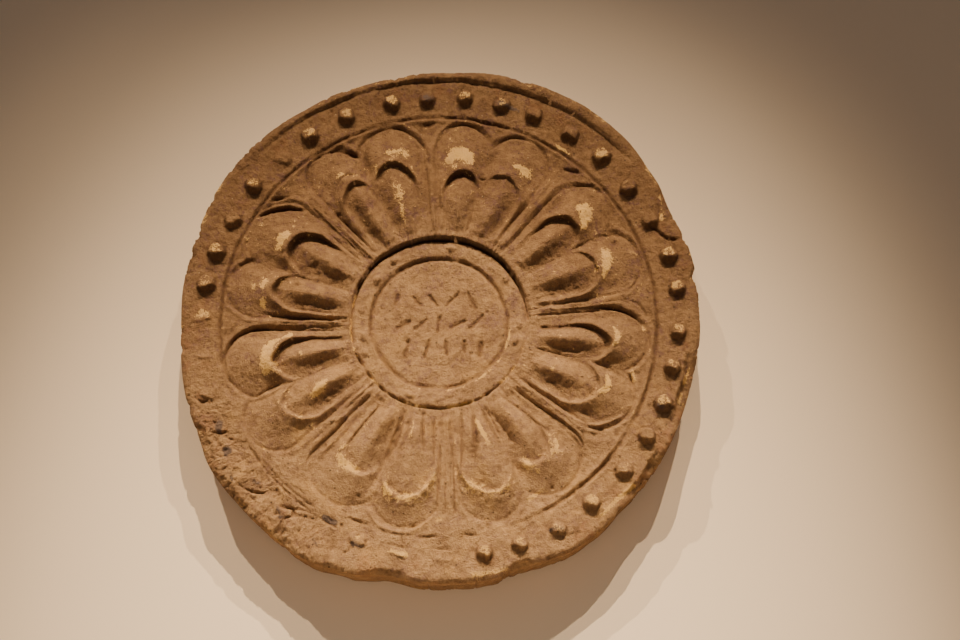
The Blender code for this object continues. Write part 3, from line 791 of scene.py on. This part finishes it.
def tileTree(clay, shapes):
    tree = bpy.data.node_groups.new("mouldedTile", "GeometryNodeTree")
    tree.interface.new_socket("Geometry", in_out="OUTPUT", socket_type="NodeSocketGeometry")
    for name in tile:
        tree.interface.new_socket(name, in_out="INPUT", socket_type="NodeSocketFloat")
    inside = tree.nodes.new("NodeGroupInput")
    size = {name: Wire(inside.outputs[name]) for name in tile}

    rings = faceRings + sideRings + backRings
    count = 2 * rings + 1
    grid = place(tree, "GeometryNodeMeshGrid", Size_X=2, Size_Y=2, Vertices_X=count, Vertices_Y=count)
    position = tree.nodes.new("GeometryNodeInputPosition").outputs[0]
    where = place(tree, "ShaderNodeSeparateXYZ", Vector=position)
    gx = Wire(where.outputs["X"])
    gy = Wire(where.outputs["Y"])

    # square rings of the grid become round ones
    wide = abs(gx)
    high = abs(gy)
    ring = most(wide, high) * rings
    level = 45 * (gy / gx) + (gx < 0) * 180
    steep = 90 - 45 * (gx / gy) + (gy < 0) * 180
    deg = mix(level, steep, high > wide) % 360

    full = size["radius"]
    face = linear(ring, 0, faceRings)
    side = linear(ring, faceRings, faceRings + sideRings)
    back = linear(ring, faceRings + sideRings, rings)
    edge = useGroup(tree, "outline", "radius deg", wornOutline, {"radius": full, "deg": deg})["edge"]
    r = face * full + (edge - full) * smooth(face, 0.9, 1)
    x = r * cosine(deg)
    y = r * sine(deg)
    spot = vector(x, y, side * -17)            # where the noise is read, on down the side too

    height, marks = relief(tree, size, x, y, r, deg, edge, spot, shapes)

    # the side narrows a little to the back and rounds into it
    lumpy = noise(spot, 8, size["seed"] + 17, 4) * 1.4 - 0.5
    narrow = 1 - smooth(side, 0.3, 0.95) * 0.006 - smooth(side, 0.9, 1) * 0.012
    rSide = r * narrow + lumpy * smooth(side, 0, 0.2) * smooth(side, 1, 0.8)
    inset = 0.06
    zSide = height * (1 - side) + inset
    rBack = rSide * (1 - back)
    # scar of the lost cover tile, and finger marks, all sunk below the flat back
    scar = ridge(rBack, full * 0.86, 4.5) * smooth(turnGap(deg, 90), 78, 66)
    backSpot = vector(rBack * cosine(deg), rBack * sine(deg), 40)
    backRough = noise(backSpot, 6, size["seed"] + 18, 4, 0.6)
    sunk = scar * (backRough * 0.5 + 0.8) + smooth(backRough, 0.05, 0.6) * 0.5
    zBack = sunk * smooth(back, 0, 0.06) + inset

    onBack = back > 0
    radius = mix(rSide, rBack, onBack)
    rise = mix(zSide, zBack, onBack)
    metre = 0.001  # from millimetres
    point = vector(radius * cosine(deg) * metre, rise * -metre, radius * sine(deg) * metre)
    onFace = side < 0.001

    shaped = grid.outputs["Mesh"]
    for name, value in marks.items():
        shaped = place(tree, "GeometryNodeStoreNamedAttribute", {"data_type": "FLOAT", "domain": "POINT"},
                       Geometry=shaped, Name=name, Value=value * onFace).outputs["Geometry"]
    shaped = place(tree, "GeometryNodeStoreNamedAttribute", {"data_type": "BOOLEAN", "domain": "POINT"},
                   Geometry=shaped, Name="outermost", Value=ring > rings - 0.5).outputs["Geometry"]
    pole = place(tree, "GeometryNodeInputNamedAttribute", {"data_type": "BOOLEAN"}, Name="outermost")
    for kind, entries in (
        ("SetPosition", {"Position": point}),
        ("MergeByDistance", {"Selection": pole.outputs["Attribute"], "Distance": 0.00001}),
        ("SetShadeSmooth", {}),
        ("RealizeInstances", {}),
        ("SetMaterial", {"Material": clay}),
    ):
        shaped = place(tree, "GeometryNode" + kind, Geometry=shaped, **entries).outputs["Geometry"]
    out = tree.nodes.new("NodeGroupOutput")
    tree.links.new(shaped, out.inputs["Geometry"])
    return tree


def setInputs(modifier, values):
    for item in modifier.node_group.interface.items_tree:
        if item.in_out == "INPUT" and item.name in values:
            modifier[item.identifier] = values[item.name]


def bakedMesh(obj):
    depsgraph = bpy.context.evaluated_depsgraph_get()
    mesh = bpy.data.meshes.new_from_object(obj.evaluated_get(depsgraph))
    obj.modifiers.clear()
    obj.data = mesh
    return mesh


def makeTile(clay):
    obj = addObject("lotus_tile_end", bpy.data.meshes.new("lotus_tile_end"))
    mould = obj.modifiers.new("mould", "NODES")
    cuts = {"grooves": grooves, "lips": lips}
    patches = {"rubbed": rubbed, "stones": stones}
    shapes = {name: runShape(name, runs, name in cuts) for name, runs in {**cuts, **patches}.items()}
    mould.node_group = tileTree(clay, shapes)
    setInputs(mould, tile)
    mesh = bakedMesh(obj)
    mesh.calc_loop_triangles()
    many = len(mesh.loop_triangles)
    print("tile end moulded:", many, "triangles")
    for shape in shapes.values():
        bpy.data.objects.remove(shape)
    thin = obj.modifiers.new("thin", "DECIMATE")
    thin.ratio = triangleLimit / many
    thin.use_collapse_triangulate = True
    mesh = bakedMesh(obj)
    print("tile end thinned:", len(mesh.polygons), "triangles")
    return obj


clayLook = {
    "brown": (0.213, 0.115, 0.057, 1),
    "tan": (0.55, 0.333, 0.154, 1),
    "pale": (0.74, 0.438, 0.13, 1),
    "mauve": (0.262, 0.144, 0.106, 1),
    "ochre": (0.6, 0.345, 0.125, 1),
    "rust": (0.33, 0.15, 0.07, 1),
    "stone": (0.12, 0.084, 0.068, 1),
    "topShadeTint": (0.545, 0.507, 0.495, 1),        # painted shade: multiplies the clay, more towards the top
    "hollow": (0.42, 0.37, 0.37, 1),         # painted shade: multiplies the clay in deep places
    "lightSand": (0.52, 0.37, 0.21, 1),
    "darkSand": (0.1, 0.06, 0.035, 1),
    "crumbDepth": 0.48,                     # mm, up and down
    "sandDepth": 0.2,
}


def blend(first, second, share, kind="MIX"):
    node = place(share.tree, "ShaderNodeMix", {"data_type": "RGBA", "blend_type": kind})
    feed(node.inputs["Factor"], share)
    feed(node.inputs["A"], first)
    feed(node.inputs["B"], second)
    return node.outputs["Result"]


def clayMaterial():
    material = bpy.data.materials.new("firedClay")
    material.use_nodes = True
    tree = material.node_tree
    shader = tree.nodes["Principled BSDF"]
    metres = tree.nodes.new("ShaderNodeTexCoord").outputs["Object"]
    coords = place(tree, "ShaderNodeVectorMath", {"operation": "SCALE"}, Vector=metres, Scale=1000)
    spot = Wire(coords.outputs[0])
    where = place(tree, "ShaderNodeSeparateXYZ", Vector=spot)
    marks = (place(tree, "ShaderNodeAttribute", {"attribute_name": name}) for name in markNames)
    worn, deep, stone = (Wire(mark.outputs["Fac"]) for mark in marks)

    broad = noise(spot, 20, 1, 3)
    mottle = noise(spot, 4, 2, 4, 0.65)
    crumb = noise(spot, 1.7, 3, 6, 0.75)
    sand = noise(spot, 0.5, 4, 2, 0.6)
    tone = clamp(broad * 0.4 + mottle * 0.8 + crumb * 0.8 + sand * 0.3 + 0.51)
    color = blend(clayLook["brown"], clayLook["tan"], tone)
    tint = noise(spot, 6, 6, 6, 0.75) + noise(spot, 1.1, 7, 3, 0.7) * 0.9
    height = Wire(where.outputs["Z"])
    higher = smooth(height, -60, 30)
    color = blend(color, clayLook["mauve"], smooth(tint, 0, 0.45) * (higher * 0.42 + 0.48))
    # yellower patches low down, and redder ones where the edge was fired hotter
    yellower = smooth(noise(spot, 9, 8, 5, 0.65) + crumb * 0.3, 0, 0.4) * (0.55 - higher * 0.4)
    color = blend(color, clayLook["ochre"], yellower)
    fromMiddle = length(Wire(where.outputs["X"]), height)
    redder = smooth(noise(spot, 7, 9, 5, 0.65) + crumb * 0.4, 0, 0.35)
    color = blend(color, clayLook["rust"], redder * smooth(fromMiddle, 64, 73) * 0.5)
    # painted shade: darker more and more towards the top and less on the disc, and darker in the deep
    # places
    topShade = smooth(height, -78, 42) * (smooth(fromMiddle, 22, 46) * 0.55 + 0.45)
    topShade = clamp(topShade + broad * 0.25 + mottle * 0.3)
    color = blend(color, clayLook["topShadeTint"], topShade, "MULTIPLY")
    color = blend(color, clayLook["hollow"], clamp(deep) * 0.8, "MULTIPLY")
    color = blend(color, clayLook["stone"], smooth(stone + crumb * 1.2, 0.35, 0.75) * 0.85)
    # rubbed places and painted highlights have crisp, crumbly edges
    rubbedAway = smooth(worn + crumb + sand * 0.6, 0.42, 0.62)
    paleClay = blend(clayLook["pale"], clayLook["tan"], clamp(mottle * 0.9 + crumb * 0.7 + 0.25))
    color = blend(color, paleClay, rubbedAway * 0.9)
    # grains of sand, light and dark
    cells = place(tree, "ShaderNodeTexVoronoi", {"feature": "F1"}, Vector=spot, Scale=1 / 1.5)
    chosen = Wire(place(tree, "ShaderNodeSeparateColor", Color=cells.outputs["Color"]).outputs[0])
    near = Wire(cells.outputs["Distance"])
    color = blend(color, clayLook["lightSand"], smooth(near, 0.2, 0.08) * (chosen > 0.93) * 0.4)
    color = blend(color, clayLook["darkSand"], smooth(near, 0.28, 0.1) * (chosen < 0.16) * 0.8)
    tree.links.new(color, shader.inputs["Base Color"])

    bump = place(tree, "ShaderNodeBump", Distance=0.001)
    feed(bump.inputs["Height"], crumb * clayLook["crumbDepth"] + sand * clayLook["sandDepth"])
    tree.links.new(bump.outputs[0], shader.inputs["Normal"])
    shader.inputs["Roughness"].default_value = 1
    shader.inputs["Specular IOR Level"].default_value = 0.12
    return material


studio = {
    "lens": 90.0,
    "distance": 0.695,          # camera to the middle of the face
    "lookUp": 16.0,             # degrees
    "aside": -0.01625,          # where the tile sits in the frame, as tangents
    "above": -0.00125,
    "faceDepth": 0.017,
    "wallColor": (0.98, 0.78, 0.555, 1),
    "wallGap": 0.001,
    "wallHole": 0.0715,         # opening hidden behind the tile, so that its back is not dark
    "reach": 3.0,               # half width of the wall and the floor
    "floorColor": (0.7, 0.6, 0.48, 1),
    "floorDrop": 0.45,
    "lamps": (                  # name, direction from the tile, power
        ("lampLeft", (-0.53, -1.0, 1.2), 46.5),
        ("lampRight", (0.37, -1.0, 1.2), 46.5),
        ("lampMiddle", (0.03, -1.0, 1.2), 72.0),
    ),
    "lampDistance": 1.2,
    "lampRadius": 0.006,
    "lightColor": (1.0, 0.8, 0.58),
    "beam": 17.0,               # degrees
    "beamLow": -0.142,          # the beams meet this far from the middle
    "fill": 0.115,
    "fillColor": (1.0, 0.91, 0.93, 1),
    "softLights": (             # name, place, target, size, power and color
        ("bounce", (0, -0.14, -0.2), (0, 0, -0.06), 0.3, 0.17, (1.0, 0.8, 0.6)),
        ("behind", (-0.25, 0.7, 0.35), (0, 0, 0), 0.6, 2.2, (1.0, 0.9, 0.78)),
    ),
}


def plainMaterial(name, color, oneSided=False):
    material = bpy.data.materials.new(name)
    material.use_nodes = True
    tree = material.node_tree
    shader = tree.nodes["Principled BSDF"]
    shader.inputs["Base Color"].default_value = color
    shader.inputs["Roughness"].default_value = 0.9
    if oneSided:
        out = tree.nodes["Material Output"]
        choice = tree.nodes.new("ShaderNodeMixShader")
        backfacing = tree.nodes.new("ShaderNodeNewGeometry").outputs["Backfacing"]
        clear = tree.nodes.new("ShaderNodeBsdfTransparent")
        for entry, source in zip(choice.inputs, (backfacing, shader.outputs[0], clear.outputs[0])):
            tree.links.new(source, entry)
        tree.links.new(choice.outputs[0], out.inputs["Surface"])
    return material


def sheet(name, points, faces, material):
    mesh = bpy.data.meshes.new(name)
    mesh.from_pydata(points, [], faces)
    mesh.materials.append(material)
    obj = addObject(name, mesh)


def addLight(name, kind, location, target, settings):
    light = bpy.data.lights.new(name, kind)
    for key, value in settings.items():
        setattr(light, key, value)
    obj = addObject(name, light)
    obj.location = location
    obj.rotation_euler = (Vector(target) - obj.location).to_track_quat("-Z", "Y").to_euler()


def makeStudio():
    pitch = math.radians(studio["lookUp"])
    forward = Vector((0, math.cos(pitch), math.sin(pitch)))
    up = Vector((0, -math.sin(pitch), math.cos(pitch)))
    face = Vector((0, -studio["faceDepth"], 0))
    ray = forward + Vector((studio["aside"], 0, 0)) + up * studio["above"]
    camera = bpy.data.cameras.new("camera")
    camera.lens = studio["lens"]
    view = addObject("camera", camera)
    view.location = face - ray * studio["distance"]
    view.rotation_euler = (math.pi / 2 + pitch, 0, 0)
    bpy.context.scene.camera = view

    wall = plainMaterial("paleWall", studio["wallColor"], oneSided=True)
    floor = plainMaterial("paleFloor", studio["floorColor"])
    hole = studio["wallHole"]
    reach = studio["reach"]
    y = studio["wallGap"]
    z = -studio["floorDrop"]
    count = 64
    turns = [math.radians(360 * n / count) for n in range(count)]
    inner = [(hole * math.cos(turn), y, hole * math.sin(turn)) for turn in turns]
    outer = [(reach * math.cos(turn), y, max(reach * math.sin(turn), z)) for turn in turns]
    faces = [(n, count + n, count + (n + 1) % count, (n + 1) % count) for n in range(count)]
    corners = [(-reach, -reach, z), (reach, -reach, z), (reach, reach, z), (-reach, reach, z)]
    sheet("backdrop", inner + outer, faces, wall)
    sheet("floor", corners, [(0, 1, 2, 3)], floor)

    beam = {"color": studio["lightColor"], "shadow_soft_size": studio["lampRadius"],
            "spot_size": math.radians(studio["beam"]), "spot_blend": 1}
    for name, direction, power in studio["lamps"]:
        location = Vector(direction).normalized() * studio["lampDistance"]
        addLight(name, "SPOT", location, (0, 0, studio["beamLow"]), {"energy": power, **beam})
    for name, location, target, size, power, color in studio["softLights"]:
        addLight(name, "AREA", location, target, {"energy": power, "size": size, "color": color})
    world = bpy.data.worlds.new("studio")
    world.use_nodes = True
    background = world.node_tree.nodes["Background"]
    background.inputs[0].default_value = studio["fillColor"]
    background.inputs[1].default_value = studio["fill"]
    bpy.context.scene.world = world


clay = clayMaterial()
tileEnd = makeTile(clay)
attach(tileEnd, "root")
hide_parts("end_tile")
makeStudio()
print("studio set")
